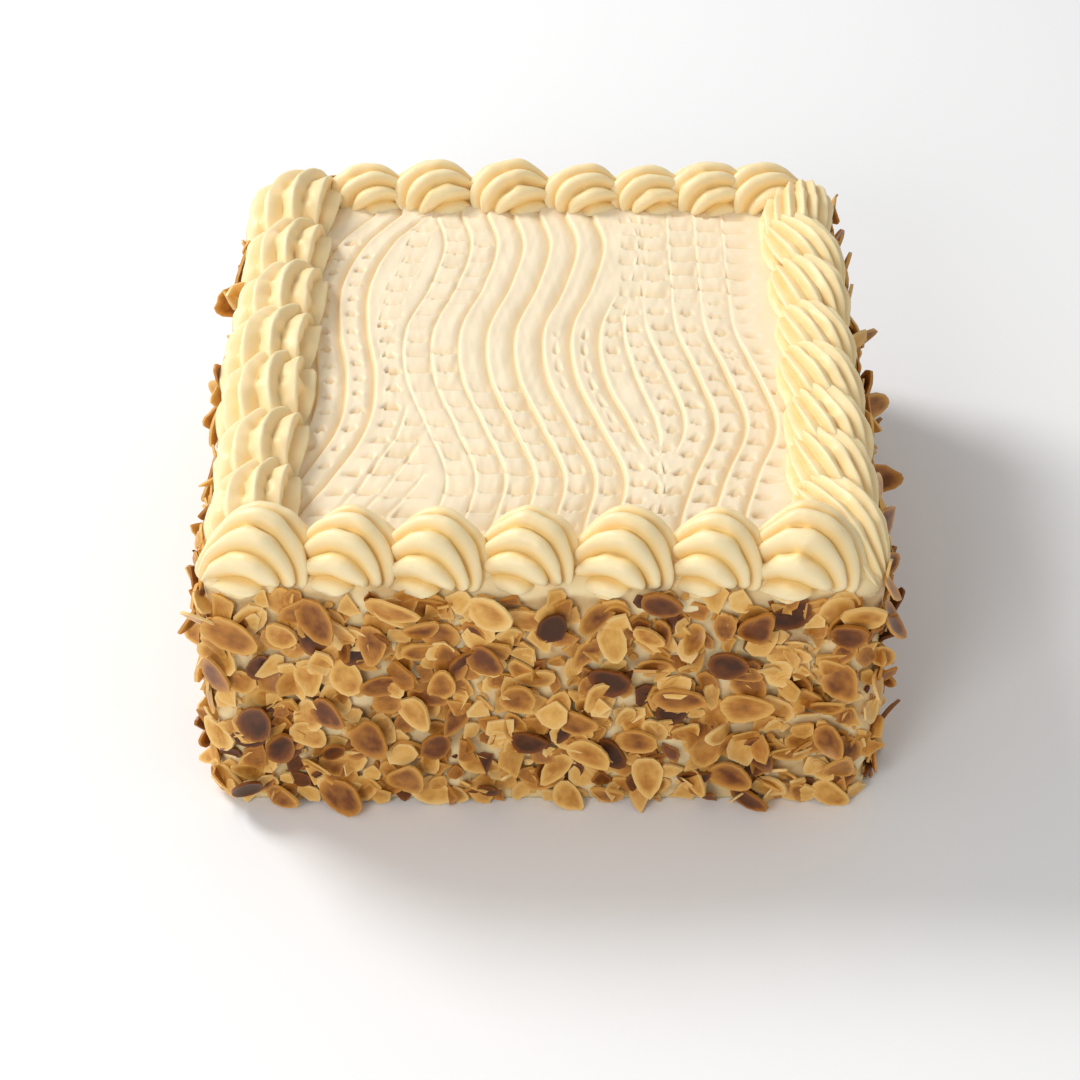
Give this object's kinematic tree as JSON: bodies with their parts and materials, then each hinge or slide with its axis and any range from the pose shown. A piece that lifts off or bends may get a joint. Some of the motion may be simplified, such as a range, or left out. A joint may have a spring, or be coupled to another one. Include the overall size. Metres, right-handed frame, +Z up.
{
  "type": "carrot cake",
  "caption": "Whole square tray-cut carrot cake, iced all over, with a combed wavy top, a border of piped shells along the top edges and toasted flaked almonds on the sides.",
  "frame": {"origin": "middle of the block's flat base", "axes": "+Z up, -Y towards the front side, +X to the right as seen from the front"},
  "size_m": [0.2133, 0.2242, 0.1002],
  "materials": {
    "buttercream": "soft matt cream icing with a faint sheen",
    "piped_buttercream": "smooth piped cream icing, yellower in the grooves",
    "toasted_almond": "dry toasted almond flakes, pale at the rim and browner in the middle"
  },
  "bodies": {
    "root": {"iced_cake": "buttercream", "shell_back_1": "piped_buttercream", "shell_back_2": "piped_buttercream", "shell_back_3": "piped_buttercream", "shell_back_4": "piped_buttercream", "shell_back_5": "piped_buttercream", "shell_back_6": "piped_buttercream", "shell_back_7": "piped_buttercream", "shell_right_1": "piped_buttercream", "shell_right_2": "piped_buttercream", "shell_right_3": "piped_buttercream", "shell_right_4": "piped_buttercream", "shell_right_5": "piped_buttercream", "shell_right_6": "piped_buttercream", "shell_right_7": "piped_buttercream", "shell_right_8": "piped_buttercream", "shell_left_1": "piped_buttercream", "shell_left_2": "piped_buttercream", "shell_left_3": "piped_buttercream", "shell_left_4": "piped_buttercream", "shell_left_5": "piped_buttercream", "shell_left_6": "piped_buttercream", "shell_left_7": "piped_buttercream", "shell_front_1": "piped_buttercream", "shell_front_2": "piped_buttercream", "shell_front_3": "piped_buttercream", "shell_front_4": "piped_buttercream", "shell_front_5": "piped_buttercream", "shell_front_6": "piped_buttercream", "shell_front_7": "piped_buttercream"}
  },
  "joints": []
}
